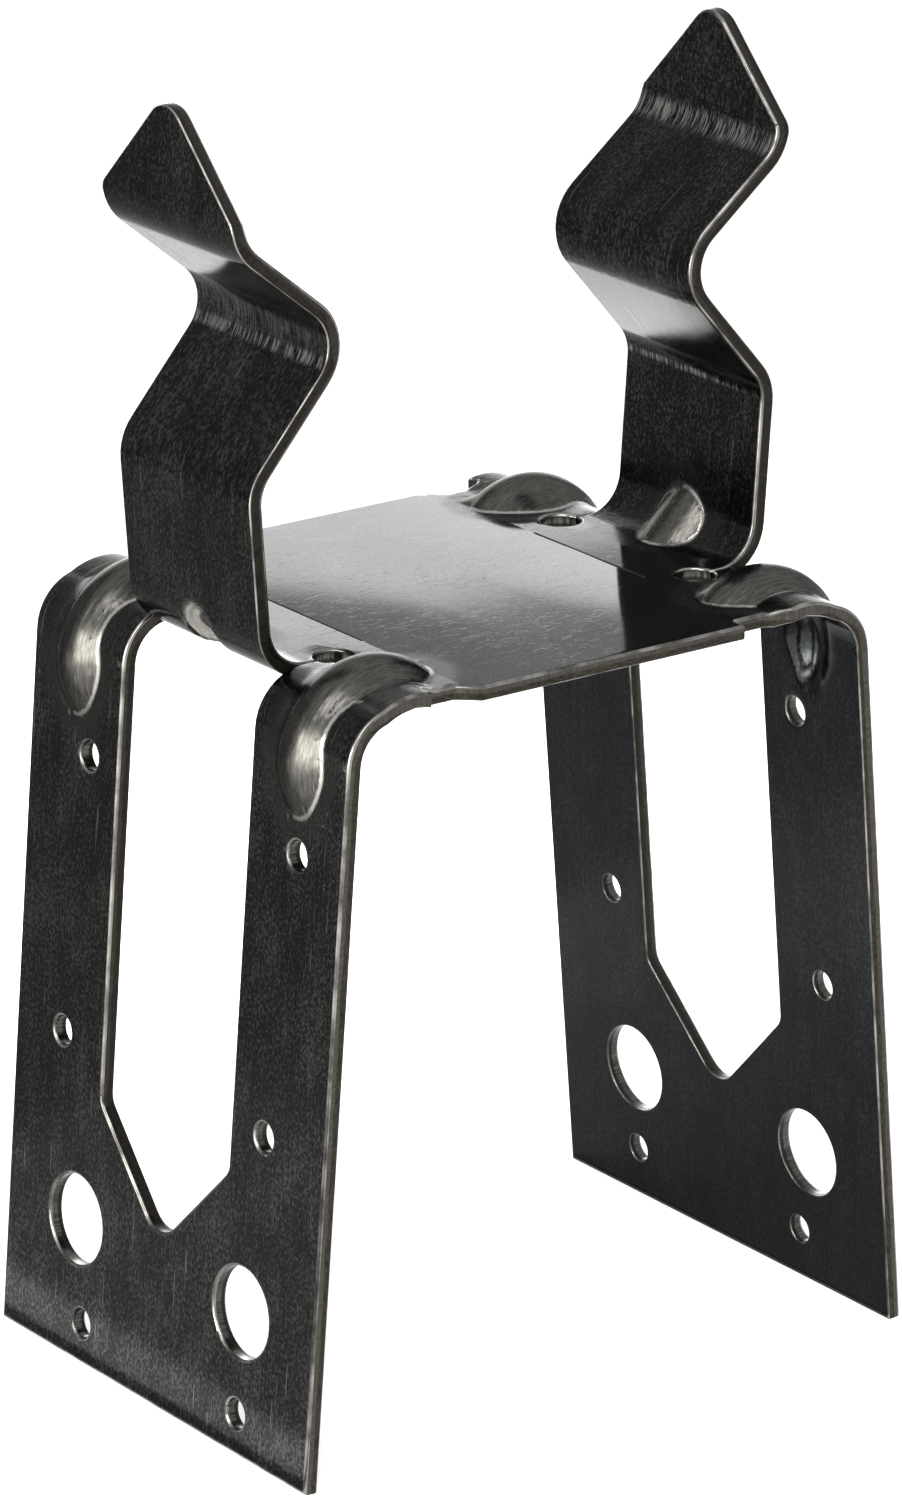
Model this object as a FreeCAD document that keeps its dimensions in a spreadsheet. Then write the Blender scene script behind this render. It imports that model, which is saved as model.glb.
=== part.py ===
"""Post base: one galvanised steel sheet, pierced, lanced, beaded and folded.

Two flanges hang from a flat deck and hold a timber post between them; the two
prongs, lanced out of the flange windows, are folded upward and zigzagged so
that they lock into concrete. It stands on the ends of its flanges.
+X runs across the deck from flange to flange, +Y along the fold lines, +Z up.
"""
import FreeCAD
import Part
import Sketcher
import math
import os
from FreeCAD import Vector

doc = FreeCAD.newDocument("post_base")

# Driving sizes, in millimetres and degrees
SIZES = (
    # the folded strap
    ("gauge", 2.3),             # thickness of the sheet
    ("strap_width", 82.55),     # width of the sheet along the fold lines
    ("post_gap", 90.85),        # clear width between the flanges at the seat
    ("deck_height", 120.26),    # foot of the flanges to the top of the deck
    ("splay", 4.475),           # spring-back of each flange away from upright
    ("bend_radius", 6.35),      # inside radius of every fold at the deck
    # the side notches of the deck
    ("tab_half", 24.2),         # middle of the deck to the near end of a notch
    ("notch_length", 9.2),
    ("notch_depth", 2.8),
    ("notch_slope", 3.2),       # run of the sloping end of a notch
    ("notch_corner", 0.8),
    # the stiffening beads over the flange folds
    ("bead_offset", 29.3),      # middle of the sheet to the middle of a bead
    ("bead_slope", 36.0),       # slope of the bead's sides
    ("bead_round", 6.2),        # rounding of the bead's back
    ("bead_crest", 15.0),       # radius of the crest round the bead's centre
    ("bead_root", 10.5),        # radius that the inner side slopes down to
    ("bead_centre", 36.0),      # middle of the deck to the bead's centre
    ("bead_drop", 11.0),        # top of the deck down to the bead's centre
    ("edge_lift", 12.2),        # radius of the lifted edge round the same centre
    ("bead_blend", 1.6),        # hollow rounding between the bead and that edge
    # the lanced windows and prongs
    ("prong_width", 34.0),
    ("shear_gap", 0.2),         # gap on each side of a prong, in its window
    ("slit_start", 33.5),       # middle of the deck to the ends of the slits
    ("relief_diameter", 6.4),   # round hole at the end of each slit
    ("point_angle", 45.0),      # half angle of the point
    ("point_radius", 5.0),
    ("shoulder_radius", 3.0),
    ("window_foot", 28.1),      # floor to the lowest edge of a window
    ("prong_root", 44.3),       # middle of the deck to a prong's inner face
    ("prong_lean", 4.1),
    ("knee_up", 27.4),          # top of the deck to the first bend
    ("slant_in", 40.6),
    ("elbow_up", 48.4),         # top of the deck to the second bend
    ("slant_out", 50.9),
    ("neck_up", 64.9),          # top of the deck to the third bend
    ("prong_up", 82.4),         # top of the deck to the tip
    ("knee_radius", 6.35),      # inside radius of the prong's own bends
    # the dart pressed into the root of each prong
    ("dart_radius", 7.0),
    ("dart_foot", 37.2),        # middle of the deck to where the crest starts
    ("dart_angle", 45.0),
    # the holes of the flanges
    ("bolt_diameter", 14.3),
    ("bolt_offset", 22.4),
    ("bolt_up", 22.6),
    ("nail_diameter", 4.6),
    ("nail_pitch", 44.8),
    ("nail_row_left", 6.5),     # floor to the lowest row of the left flange
    ("nail_row_right", 8.35),
    ("nail_low_in", 19.45),
    ("nail_low_out", 22.55),
    ("nail_mid_in", 25.7),
    ("nail_mid_out", 28.55),
    ("nail_top_in", 25.1),
    ("nail_top_out", 29.9),
    # how far the cutting tools reach past the metal
    ("tool_reach", 8.0),
)

sheet = doc.addObject("Spreadsheet::Sheet", "Sizes")
for row, (alias, value) in enumerate(SIZES, 1):
    sheet.set("A%d" % row, alias)
    sheet.set("B%d" % row, str(value))
    sheet.setAlias("B%d" % row, alias)
doc.recompute()


def worth(text):
    """The present value of an expression on the sheet."""
    value = sheet.evalExpression(text)
    return float(getattr(value, "Value", value))


body = doc.addObject("PartDesign::Body", "post_base")
body.Label = "post_base"
planes = {}
for datum in body.Origin.OriginFeatures:
    planes[datum.Role] = datum


def bind(thing, **sizes):
    """Tie properties of an object to expressions on the sheet."""
    for name, text in sizes.items():
        thing.setExpression(name.replace("__", "."), text)


def new_sketch(name, plane):
    """A sketch on one of the body's own origin planes."""
    sketch = body.newObject("Sketcher::SketchObject", name)
    sketch.AttachmentSupport = [(planes[plane], "")]
    sketch.MapMode = "FlatFace"
    return sketch


def pin(sketch, geometry, end, x, y):
    """Hold a point of a sketch at two expressions."""
    across = sketch.addConstraint(
        Sketcher.Constraint("DistanceX", -1, 1, geometry, end, worth(x)))
    sketch.setExpression("Constraints[%d]" % across, x)
    along = sketch.addConstraint(
        Sketcher.Constraint("DistanceY", -1, 1, geometry, end, worth(y)))
    sketch.setExpression("Constraints[%d]" % along, y)


def outline(sketch, corners):
    """A closed outline: each corner is x, y and, where it is round, a radius."""
    spots = [Vector(worth(c[0]), worth(c[1]), 0) for c in corners]
    count = len(corners)
    starts = []
    ends = []
    arcs = []
    for i, corner in enumerate(corners):
        here = spots[i]
        if len(corner) == 2:
            starts.append(here)
            ends.append(here)
            arcs.append(None)
            continue
        radius = worth(corner[2])
        before = (spots[i - 1] - here).normalize()
        after = (spots[(i + 1) % count] - here).normalize()
        half = before.getAngle(after) / 2
        middle = (before + after).normalize()
        first = here + before * (radius / math.tan(half))
        last = here + after * (radius / math.tan(half))
        mid = here + middle * (radius / math.sin(half) - radius)
        ends.append(first)
        starts.append(last)
        arcs.append((first, mid, last, corner[2]))
    lines = []
    for i in range(count):
        line = Part.LineSegment(starts[i], ends[(i + 1) % count])
        lines.append(sketch.addGeometry(line, False))
    for i, corner in enumerate(corners):
        into = lines[i - 1]
        out = lines[i]
        if arcs[i] is None:
            sketch.addConstraint(Sketcher.Constraint("Coincident", into, 2, out, 1))
            pin(sketch, out, 1, corner[0], corner[1])
            continue
        first, mid, last, radius = arcs[i]
        arc = sketch.addGeometry(Part.Arc(first, mid, last), False)
        turn = (first - mid).cross(last - mid).z
        head, tail = (1, 2) if turn < 0 else (2, 1)
        sketch.addConstraint(Sketcher.Constraint("Tangent", into, 2, arc, head))
        sketch.addConstraint(Sketcher.Constraint("Tangent", arc, tail, out, 1))
        size = sketch.addConstraint(Sketcher.Constraint("Radius", arc, worth(radius)))
        sketch.setExpression("Constraints[%d]" % size, radius)
        vertex = sketch.addGeometry(Part.Point(spots[i]), True)
        sketch.addConstraint(Sketcher.Constraint("PointOnObject", vertex, 1, into))
        sketch.addConstraint(Sketcher.Constraint("PointOnObject", vertex, 1, out))
        pin(sketch, vertex, 1, corner[0], corner[1])


def ring(sketch, x, y, diameter):
    """A full circle held by its centre and its diameter."""
    circle = Part.Circle(Vector(worth(x), worth(y), 0), Vector(0, 0, 1), worth(diameter) / 2)
    index = sketch.addGeometry(circle, False)
    size = sketch.addConstraint(Sketcher.Constraint("Diameter", index, worth(diameter)))
    sketch.setExpression("Constraints[%d]" % size, diameter)
    pin(sketch, index, 3, x, y)


def settle(feature, grows):
    """Recompute and make sure that a feature added or took metal."""
    before = settle.volume
    body.Tip = feature
    doc.recompute()
    after = body.Shape.Volume
    if not feature.isValid() or (after - before) * grows <= 0:
        raise RuntimeError("%s changed the volume from %.1f to %.1f" % (feature.Name, before, after))
    settle.volume = after


settle.volume = 0.0


def pad(sketch, name, length):
    feature = body.newObject("PartDesign::Pad", name)
    feature.Profile = sketch
    feature.Midplane = True
    bind(feature, Length=length)
    settle(feature, 1)
    return feature


def pocket(sketch, name, length=None, midplane=False, reverse=False):
    feature = body.newObject("PartDesign::Pocket", name)
    feature.Profile = sketch
    feature.Midplane = midplane
    feature.Reversed = reverse
    bind(feature, Length=length)
    settle(feature, -1)
    return feature


def mirror(features, name, plane, grows):
    feature = body.newObject("PartDesign::Mirrored", name)
    feature.Originals = features
    feature.MirrorPlane = (planes[plane], [""])
    settle(feature, grows)
    return feature


# The strap: the outer form is padded, beaded and then hollowed from below
SPLAY = "(Sizes.splay * 1 deg)"
SEAT = "(Sizes.deck_height - Sizes.gauge)"
FOOT_IN = "(Sizes.post_gap / 2 + %s * tan(%s))" % (SEAT, SPLAY)
FOOT_OUT = "(%s + Sizes.gauge * cos(%s))" % (FOOT_IN, SPLAY)
FOOT_RISE = "(Sizes.gauge * sin(%s))" % SPLAY
BROW = "(Sizes.post_gap / 2 + Sizes.gauge / cos(%s) - Sizes.gauge * tan(%s))" % (SPLAY, SPLAY)
OUTER_BEND = "Sizes.bend_radius + Sizes.gauge"

outer = new_sketch("strap_outline", "XZ_Plane")
outline(outer, [
    ("-" + FOOT_IN, "0"),
    (FOOT_IN, "0"),
    (FOOT_OUT, FOOT_RISE),
    (BROW, "Sizes.deck_height", OUTER_BEND),
    ("-" + BROW, "Sizes.deck_height", OUTER_BEND),
    ("-" + FOOT_OUT, FOOT_RISE),
])
pad(outer, "strap", "Sizes.strap_width")


def bead_sketch(name, wall, past):
    """Two rounded tyres on one axle along Y, to be turned round it.

    Outside each bead the edge of the strip is lifted along with it. The profile
    lies on the post's side of the axle, so that its seam is cut away.
    """
    sketch = new_sketch(name, "XY_Plane")
    bind(sketch, AttachmentOffset__Base__x="Sizes.bead_centre",
         AttachmentOffset__Base__z="Sizes.deck_height - Sizes.bead_drop")
    slope = "(Sizes.bead_slope * 1 deg)"
    curve = "(Sizes.bead_round - %s)" % wall
    blend = "Sizes.bead_blend + %s" % wall
    peak = "(Sizes.bead_crest - %s + %s * (1 / cos(%s) - 1))" % (wall, curve, slope)
    root = "(Sizes.bead_root - %s)" % wall
    lift = "(Sizes.edge_lift - %s)" % wall
    root_run = "(%s - %s) / tan(%s)" % (peak, root, slope)
    lift_run = "(%s - %s) / tan(%s)" % (peak, lift, slope)
    rim = "(Sizes.strap_width / 2 + %s)" % past
    for side in ("-", ""):
        start = "%s(Sizes.bead_offset - %s)" % (side, root_run)
        stop = "%s(Sizes.bead_offset + %s)" % (side, lift_run)
        outline(sketch, [
            ("0", start),
            ("-" + root, start),
            ("-" + peak, side + "Sizes.bead_offset", curve),
            ("-" + lift, stop, blend),
            ("-" + lift, side + rim),
            ("0", side + rim),
        ])
    return sketch


bead_outer = bead_sketch("bead_outline", "0", "0")
beads = body.newObject("PartDesign::Revolution", "beads")
beads.Profile = bead_outer
beads.ReferenceAxis = (bead_outer, ["V_Axis"])
beads.Angle = 360
settle(beads, 1)
mirror([beads], "beads_left", "YZ_Plane", 1)

inner = new_sketch("post_outline", "XZ_Plane")
SHED = "(Sizes.post_gap / 2 + (%s + Sizes.tool_reach) * tan(%s))" % (SEAT, SPLAY)
outline(inner, [
    ("-" + SHED, "-Sizes.tool_reach"),
    (SHED, "-Sizes.tool_reach"),
    ("Sizes.post_gap / 2", SEAT, "Sizes.bend_radius"),
    ("-Sizes.post_gap / 2", SEAT, "Sizes.bend_radius"),
])
pocket(inner, "post_space", "Sizes.strap_width + 2 * Sizes.tool_reach", midplane=True)

bead_inner = bead_sketch("bead_hollow_outline", "Sizes.gauge", "Sizes.tool_reach")
hollows = body.newObject("PartDesign::Groove", "bead_hollows")
hollows.Profile = bead_inner
hollows.ReferenceAxis = (bead_inner, ["V_Axis"])
hollows.Angle = 360
settle(hollows, -1)
mirror([hollows], "bead_hollows_left", "YZ_Plane", -1)

# The notches between the deck's side tabs and the flange strips: both notches
# of a side have their sloping end the same way, so the other side is turned
notch = new_sketch("notch_outline", "XY_Plane")
bind(notch, AttachmentOffset__Base__z="Sizes.deck_height + Sizes.tool_reach")
EDGE = "-Sizes.strap_width / 2"
PAST = "(%s - Sizes.tool_reach)" % EDGE
DEEP = "(%s + Sizes.notch_depth)" % EDGE
for start in ("(-Sizes.tab_half - Sizes.notch_length)", "Sizes.tab_half"):
    stop = "(%s + Sizes.notch_length)" % start
    outline(notch, [
        (start, PAST),
        (stop, PAST),
        (stop, EDGE),
        ("%s - Sizes.notch_slope" % stop, DEEP, "2 * Sizes.notch_corner"),
        (start, DEEP, "Sizes.notch_corner"),
    ])
notches = pocket(notch, "notches", "2 * Sizes.tool_reach")
turned = body.newObject("PartDesign::PolarPattern", "notches_far")
turned.Originals = [notches]
turned.Axis = (planes["Z_Axis"], [""])
turned.Angle = 360
turned.Occurrences = 2
settle(turned, -1)

# The windows: the prongs' own outline, with the shearing gap round it
POINT = "(Sizes.point_angle * 1 deg)"
BLUNT = "(Sizes.point_radius * (1 / sin(%s) - 1))" % POINT
WINDOW = "(Sizes.prong_width / 2 + Sizes.shear_gap)"
WINDOW_TIP = "(Sizes.window_foot - %s)" % BLUNT
WINDOW_SHOULDER = "(%s + %s / tan(%s))" % (WINDOW_TIP, WINDOW, POINT)
ABOVE = "Sizes.deck_height + Sizes.tool_reach"
window = new_sketch("window_outline", "YZ_Plane")
bind(window, AttachmentOffset__Base__z="Sizes.slit_start")
outline(window, [
    ("-" + WINDOW, ABOVE),
    ("-" + WINDOW, WINDOW_SHOULDER, "Sizes.shoulder_radius"),
    ("0", WINDOW_TIP, "Sizes.point_radius"),
    (WINDOW, WINDOW_SHOULDER, "Sizes.shoulder_radius"),
    (WINDOW, ABOVE),
])
WINDOW_CUT = "%s - Sizes.slit_start + Sizes.tool_reach" % FOOT_OUT
windows = pocket(window, "window", WINDOW_CUT, reverse=True)
mirror([windows], "window_left", "YZ_Plane", -1)

# The prongs: a folded profile of even thickness
LEAN = "(Sizes.prong_lean * 1 deg)"
IN = "(Sizes.slant_in * 1 deg)"
OUT = "(Sizes.slant_out * 1 deg)"
DECK = "Sizes.deck_height"
KNEE_X = "(Sizes.prong_root + Sizes.knee_up * tan(%s))" % LEAN
ELBOW_X = "(%s - (Sizes.elbow_up - Sizes.knee_up) * tan(%s))" % (KNEE_X, IN)
NECK_X = "(%s + (Sizes.neck_up - Sizes.elbow_up) * tan(%s))" % (ELBOW_X, OUT)
SHEET_IN = "(Sizes.slit_start - Sizes.relief_diameter)"


def behind(x, up, first, second):
    """The corner of the outer face behind a corner of the inner face."""
    mean = "((%s + %s) / 2)" % (first, second)
    reach = "Sizes.gauge / cos((%s - %s) / 2)" % (first, second)
    return ("%s + %s * cos(%s)" % (x, reach, mean), "%s + %s - %s * sin(%s)" % (DECK, up, reach, mean))


TIGHT = "Sizes.knee_radius"
WIDE = "Sizes.knee_radius + Sizes.gauge"
prong = new_sketch("prong_profile", "XZ_Plane")
outline(prong, [
    (SHEET_IN, DECK),
    ("Sizes.prong_root", DECK, "Sizes.bend_radius"),
    (KNEE_X, DECK + " + Sizes.knee_up", TIGHT),
    (ELBOW_X, DECK + " + Sizes.elbow_up", WIDE),
    (NECK_X, DECK + " + Sizes.neck_up", TIGHT),
    (NECK_X, DECK + " + Sizes.prong_up"),
    (NECK_X + " + Sizes.gauge", DECK + " + Sizes.prong_up"),
    behind(NECK_X, "Sizes.neck_up", OUT, "0 deg") + (WIDE,),
    behind(ELBOW_X, "Sizes.elbow_up", "-" + IN, OUT) + (TIGHT,),
    behind(KNEE_X, "Sizes.knee_up", LEAN, "-" + IN) + (WIDE,),
    behind("Sizes.prong_root", "0", "90 deg", LEAN) + (OUTER_BEND,),
    (SHEET_IN, DECK + " - Sizes.gauge"),
])
prongs = pad(prong, "prong", "Sizes.prong_width")
mirror([prongs], "prong_left", "YZ_Plane", 1)

# The dart across the inside of each prong's root: a round rib set slantwise,
# trimmed to the outer face of the fold and hollowed from behind
SLOPE = "(Sizes.dart_angle * 1 deg)"
RIB_X = "Sizes.dart_foot + Sizes.dart_radius * sin(%s)" % SLOPE
RIB_Z = "Sizes.deck_height - Sizes.dart_radius * cos(%s)" % SLOPE
RIB_RUN = "((Sizes.prong_root - Sizes.dart_foot) / cos(%s) + 2 * Sizes.gauge)" % SLOPE


def rib(kind, name, radius, before, grows):
    """A cylinder along the crest of the dart."""
    feature = body.newObject(kind, name)
    feature.Placement = FreeCAD.Placement(Vector(), FreeCAD.Rotation(Vector(0, 1, 0), 45))
    bind(feature, Radius=radius, Height="%s + 2 * %s" % (RIB_RUN, before),
         Placement__Rotation__Angle="90 deg - %s" % SLOPE,
         Placement__Base__x="%s - %s * cos(%s)" % (RIB_X, before, SLOPE),
         Placement__Base__z="%s - %s * sin(%s)" % (RIB_Z, before, SLOPE))
    settle(feature, grows)
    return feature


dart = rib("PartDesign::AdditiveCylinder", "dart", "Sizes.dart_radius", "Sizes.gauge", 1)
mirror([dart], "dart_left", "YZ_Plane", 1)

trim = new_sketch("dart_trim", "XZ_Plane")
TRIM_UP = "(%s * sin(%s) + Sizes.gauge)" % (RIB_RUN, SLOPE)
TRIM_X = "(Sizes.prong_root + 2 * Sizes.dart_radius + %s)" % TRIM_UP
TRIM_Z = "(%s - 2 * Sizes.dart_radius)" % SEAT
outline(trim, [
    ("0", SEAT),
    behind("Sizes.prong_root", "0", "90 deg", LEAN) + (OUTER_BEND,),
    behind("(Sizes.prong_root + %s * tan(%s))" % (TRIM_UP, LEAN), TRIM_UP, LEAN, LEAN),
    (TRIM_X, "%s + %s" % (DECK, TRIM_UP)),
    (TRIM_X, TRIM_Z),
    ("0", TRIM_Z),
])
trimmed = pocket(trim, "dart_back", "2 * Sizes.dart_radius + Sizes.gauge", midplane=True)
mirror([trimmed], "dart_back_left", "YZ_Plane", -1)
hollow = rib("PartDesign::SubtractiveCylinder", "dart_hollow", "Sizes.dart_radius - Sizes.gauge",
             "Sizes.tool_reach", -1)
mirror([hollow], "dart_hollow_left", "YZ_Plane", -1)


# The points of the prongs
TIP = "(Sizes.deck_height + Sizes.prong_up + %s)" % BLUNT
HALF = "(Sizes.prong_width / 2)"
SHOULDER = "(%s - %s / tan(%s))" % (TIP, HALF, POINT)
BESIDE = "(%s + Sizes.tool_reach)" % HALF
UNDER = "%s - Sizes.tool_reach" % SHOULDER
OVER = "%s + Sizes.tool_reach" % TIP
point = new_sketch("point_outline", "YZ_Plane")
bind(point, AttachmentOffset__Base__z=SHEET_IN)
outline(point, [
    (HALF, UNDER),
    (BESIDE, UNDER),
    (BESIDE, OVER),
    ("-" + BESIDE, OVER),
    ("-" + BESIDE, UNDER),
    ("-" + HALF, UNDER),
    ("-" + HALF, SHOULDER, "Sizes.shoulder_radius"),
    ("0", TIP, "Sizes.point_radius"),
    (HALF, SHOULDER, "Sizes.shoulder_radius"),
])
POINT_CUT = "%s + Sizes.gauge + Sizes.tool_reach - %s" % (NECK_X, SHEET_IN)
points = pocket(point, "point", POINT_CUT, reverse=True)
mirror([points], "point_left", "YZ_Plane", -1)

# The round holes at the ends of the slits
relief = new_sketch("relief_outline", "XY_Plane")
bind(relief, AttachmentOffset__Base__z="Sizes.deck_height + Sizes.tool_reach")
for across in ("-", ""):
    for along in ("-", ""):
        ring(relief, across + "Sizes.slit_start", "%s%s" % (along, HALF), "Sizes.relief_diameter")
pocket(relief, "relief_holes", "2 * Sizes.tool_reach")


# The bolt and nail holes, square to each flange. The nail holes of one flange
# are those of the other turned round, with the rows at their own height.
def flange_holes(name, side, row):
    sketch = new_sketch(name + "_outline", "YZ_Plane")
    sketch.AttachmentOffset = FreeCAD.Placement(Vector(), FreeCAD.Rotation(Vector(-side, 0, 0), 1))
    bind(sketch, AttachmentOffset__Rotation__Angle=SPLAY,
         AttachmentOffset__Base__y=FOOT_RISE,
         AttachmentOffset__Base__z=FOOT_OUT if side > 0 else "-" + FOOT_OUT)
    rise = "(%%s - %s) / cos(%s)" % (FOOT_RISE, SPLAY)
    for sign in ("-", ""):
        ring(sketch, sign + "Sizes.bolt_offset", rise % "Sizes.bolt_up", "Sizes.bolt_diameter")
    near, far = ("-", "") if side > 0 else ("", "-")
    rows = (
        ("Sizes.nail_low_in", "Sizes.nail_low_out", row),
        ("Sizes.nail_mid_out", "Sizes.nail_mid_in", row + " + Sizes.nail_pitch"),
        ("Sizes.nail_top_in", "Sizes.nail_top_out", row + " + 2 * Sizes.nail_pitch"),
    )
    for first, second, height in rows:
        ring(sketch, near + first, rise % ("(%s)" % height), "Sizes.nail_diameter")
        ring(sketch, far + second, rise % ("(%s)" % height), "Sizes.nail_diameter")
    return pocket(sketch, name, "4 * Sizes.gauge", midplane=True)


flange_holes("right_holes", 1, "Sizes.nail_row_right")
flange_holes("left_holes", -1, "Sizes.nail_row_left")

# Every object is sound before anything is written
doc.recompute()
for thing in doc.Objects:
    if "Invalid" in thing.State or "Error" in thing.State:
        raise RuntimeError("%s is %s" % (thing.Name, thing.State))
    if thing.isDerivedFrom("Sketcher::SketchObject") and not thing.FullyConstrained:
        raise RuntimeError("%s is not held by its sizes" % thing.Name)
solid = body.Shape
if solid.isNull() or not solid.isValid() or len(solid.Solids) != 1:
    raise RuntimeError("the sheet is not one sound solid")
os.makedirs("parts", exist_ok=True)
solid.exportStep("parts/%s.step" % body.Label)
print("post_base", round(solid.Volume, 1), solid.BoundBox)
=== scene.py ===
"""Looks of the post base: rolled-over edges, softened presswork and a galvanised finish.

Lengths are in metres, in the part's own frame: +X across the deck, +Y along the
folds and +Z up, with the flanges standing on the floor at zero.
"""
import math

import bmesh
import bpy
import numpy as np
from mathutils import Matrix, Vector
from mathutils.bvhtree import BVHTree
from mathutils.kdtree import KDTree


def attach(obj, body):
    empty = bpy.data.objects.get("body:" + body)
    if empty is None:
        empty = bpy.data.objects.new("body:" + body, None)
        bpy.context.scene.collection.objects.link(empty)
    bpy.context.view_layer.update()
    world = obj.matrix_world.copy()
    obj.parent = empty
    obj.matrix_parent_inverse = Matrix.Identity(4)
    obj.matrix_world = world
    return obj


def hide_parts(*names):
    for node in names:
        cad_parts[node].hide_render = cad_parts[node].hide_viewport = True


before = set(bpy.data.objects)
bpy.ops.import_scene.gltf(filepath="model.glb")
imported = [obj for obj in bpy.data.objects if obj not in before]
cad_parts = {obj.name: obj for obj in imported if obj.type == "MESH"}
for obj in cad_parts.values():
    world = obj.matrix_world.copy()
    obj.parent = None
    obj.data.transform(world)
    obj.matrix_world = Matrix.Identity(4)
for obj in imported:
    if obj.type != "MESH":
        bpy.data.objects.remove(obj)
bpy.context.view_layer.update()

MM = 0.001

# The sheet and its folds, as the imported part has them
GAUGE = 2.3 * MM
DECK_TOP = 120.26 * MM
FLANGE_TOP_X = 46.6 * MM        # middle of the sheet where the flange leaves the deck
FLANGE_FOOT_X = 55.8 * MM
PRONG_ROOT_X = 45.5 * MM
KNEE = (47.4 * MM, 147.3 * MM)  # middle of the sheet at the prong's three bends
ELBOW = (29.4 * MM, 168.6 * MM)
NECK = (50.0 * MM, 184.8 * MM)
TIP_Z = 202.66 * MM
FOLD_RADIUS = 7.5 * MM          # middle of the sheet in every fold
SLIT_X = 33.5 * MM
PRONG_HALF = 17.1 * MM          # half of a prong, with its slit
RELIEF_RADIUS = 3.2 * MM        # round holes that end the slits

# What the press leaves on the sheet
STRUCK_ROUND = 0.45 * MM        # rounding of the sheared corners on the side that was struck
BACK_ROUND = 0.22 * MM          # and on the other side
BEAD_Y = 29.3 * MM              # middle of a bead
BEAD_FROM_X = 24 * MM           # room that a bead takes over its fold
BEAD_TO_X = 56 * MM
BEAD_FOOT_Z = 92 * MM
DART_HALF = 9 * MM              # room that a dart takes at the root of its prong
DART_UP = 17 * MM
CREASE_REACH = 1.6 * MM         # width of a pressed crease
SOFT_REACH = 2.6 * MM           # width of the softer creases on their far side
RUB_REACH = 6.0 * MM            # how far the rubbing reaches past a bead or a dart
LINE_REACH = 2.0 * MM           # farthest that the near-side creases, which carry a painted highlight line, are measured from
FOLD_HUB_Z = 90 * MM            # height of a point inside the folds, which their inner skin faces

# How the mesh is worked
SEAM = 0.001 * MM               # vertices closer than this are one
SLIVER = 0.004 * MM             # edges shorter than this go
FLAT_ANGLE = math.radians(0.3)  # faces that bend less than this are one
CREASE_ANGLE = math.radians(25)  # edges of the skin that bend more than this are pressed creases
SHARP_ANGLE = math.radians(40)  # edges that keep a hard shade
CORNER_ANGLE = math.radians(50)  # edges between skin and wall that are rounded
SKIN_DEPTH = 1.4 * GAUGE        # a face with less than this behind it is skin
LARGEST_BORE = 16 * MM
CREASE_GRAIN = 1.0 * MM         # facets beside a crease
PRESS_GRAIN = 1.7 * MM          # facets elsewhere on the beads and darts
CRISP_STEPS = 8                 # steps of relaxing for the creases on the near side of the beads
PULL, PUSH = 0.5, -0.52         # steps of relaxing that go in and out by turns, so that nothing shrinks
SOFT_PULL = 0.6
SHEET, SHEAR, RIM, BORE = 0, 1, 2, 3  # material slots: skin, sheared walls, rounded corners, holes

# Marks on the skin, in millimetres along the unfolded sheet
DIE_LINE = 26.2                 # lines that the folding die scribes on the deck
DIE_LINE_HALF = 14.0            # half of their length
DECK_REACH = 36.0               # where the flat of the deck ends
DART_REACH = 62.5               # where the hollow behind a dart ends
SLOT_WALL_HALF = 18.5              # walls nearer the middle than this get a painted shade
SLOT_WALL_REACH = 41.0             # and farther along than this
VALLEY_DEPTH = 0.36             # dip along a scribed line

# Colours of the metal
ZINC_DARK = (0.021, 0.022, 0.023, 1)
ZINC_LIGHT = (0.105, 0.107, 0.105, 1)
ZINC_INSIDE = (0.030, 0.033, 0.036, 1)
ZINC_CALM = (0.042, 0.042, 0.041, 1)
ZINC_DECK = (0.055, 0.056, 0.057, 1)
# Rubbed beads and darts, lighter partly as a painted highlight
RUBBED_HIGHLIGHT_DARK = (0.055, 0.054, 0.051, 1)
RUBBED_HIGHLIGHT_LIGHT = (0.105, 0.102, 0.095, 1)
# Painted highlight along the near-side creases of the beads and darts
CREASE_HIGHLIGHT = (0.42, 0.41, 0.39, 1)
# Painted reflection in the hollow backs of the darts
DART_HOLLOW_REFLECTION = (0.42, 0.41, 0.38, 1)
DRAGGED = (0.55, 0.545, 0.53, 1)
SCRATCHED = (0.30, 0.30, 0.29, 1)
SCRIBED = (0.004, 0.004, 0.004, 1)
CUT_DARK = (0.050, 0.046, 0.040, 1)
CUT_LIGHT = (0.085, 0.080, 0.071, 1)
TORN_DARK = (0.022, 0.020, 0.017, 1)
TORN_LIGHT = (0.055, 0.049, 0.041, 1)
STAINED = (0.035, 0.026, 0.018, 1)
# Painted shade on the walls in the slots beside the prongs
SLOT_WALL_SHADE = (0.018, 0.016, 0.014, 1)
RIM_DARK = (0.07, 0.069, 0.065, 1)
# Painted highlight on the rolled corners of the cut edges
RIM_HIGHLIGHT = (0.28, 0.275, 0.26, 1)
BORE_DARK = (0.035, 0.034, 0.031, 1)
BORE_LIGHT = (0.10, 0.098, 0.092, 1)
BORE_TORN = (0.025, 0.023, 0.020, 1)

# Tint of the glare at grazing angles
GRAZE_SKIN = (0.87, 0.87, 0.87, 1)
GRAZE_DECK = (0.7, 0.7, 0.7, 1)
GRAZE_RAISED = (0.5, 0.5, 0.5, 1)

# The studio
FLOOR_HALF = 8.0
FLOOR_COLOUR = (0.9, 0.9, 0.9, 1)
FLOOR_GLOW = 0.5
SKY_LIGHT = 0.5                 # strength of the white surroundings for all but what is seen in them
CARD_Z = 0.4 * MM               # cards that lie on the floor
UPPER_CARD_Z = 0.8 * MM
DARK_CLOTH, GREY_CLOTH, PALE_CLOTH = 0.3, 0.5, 0.8

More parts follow.
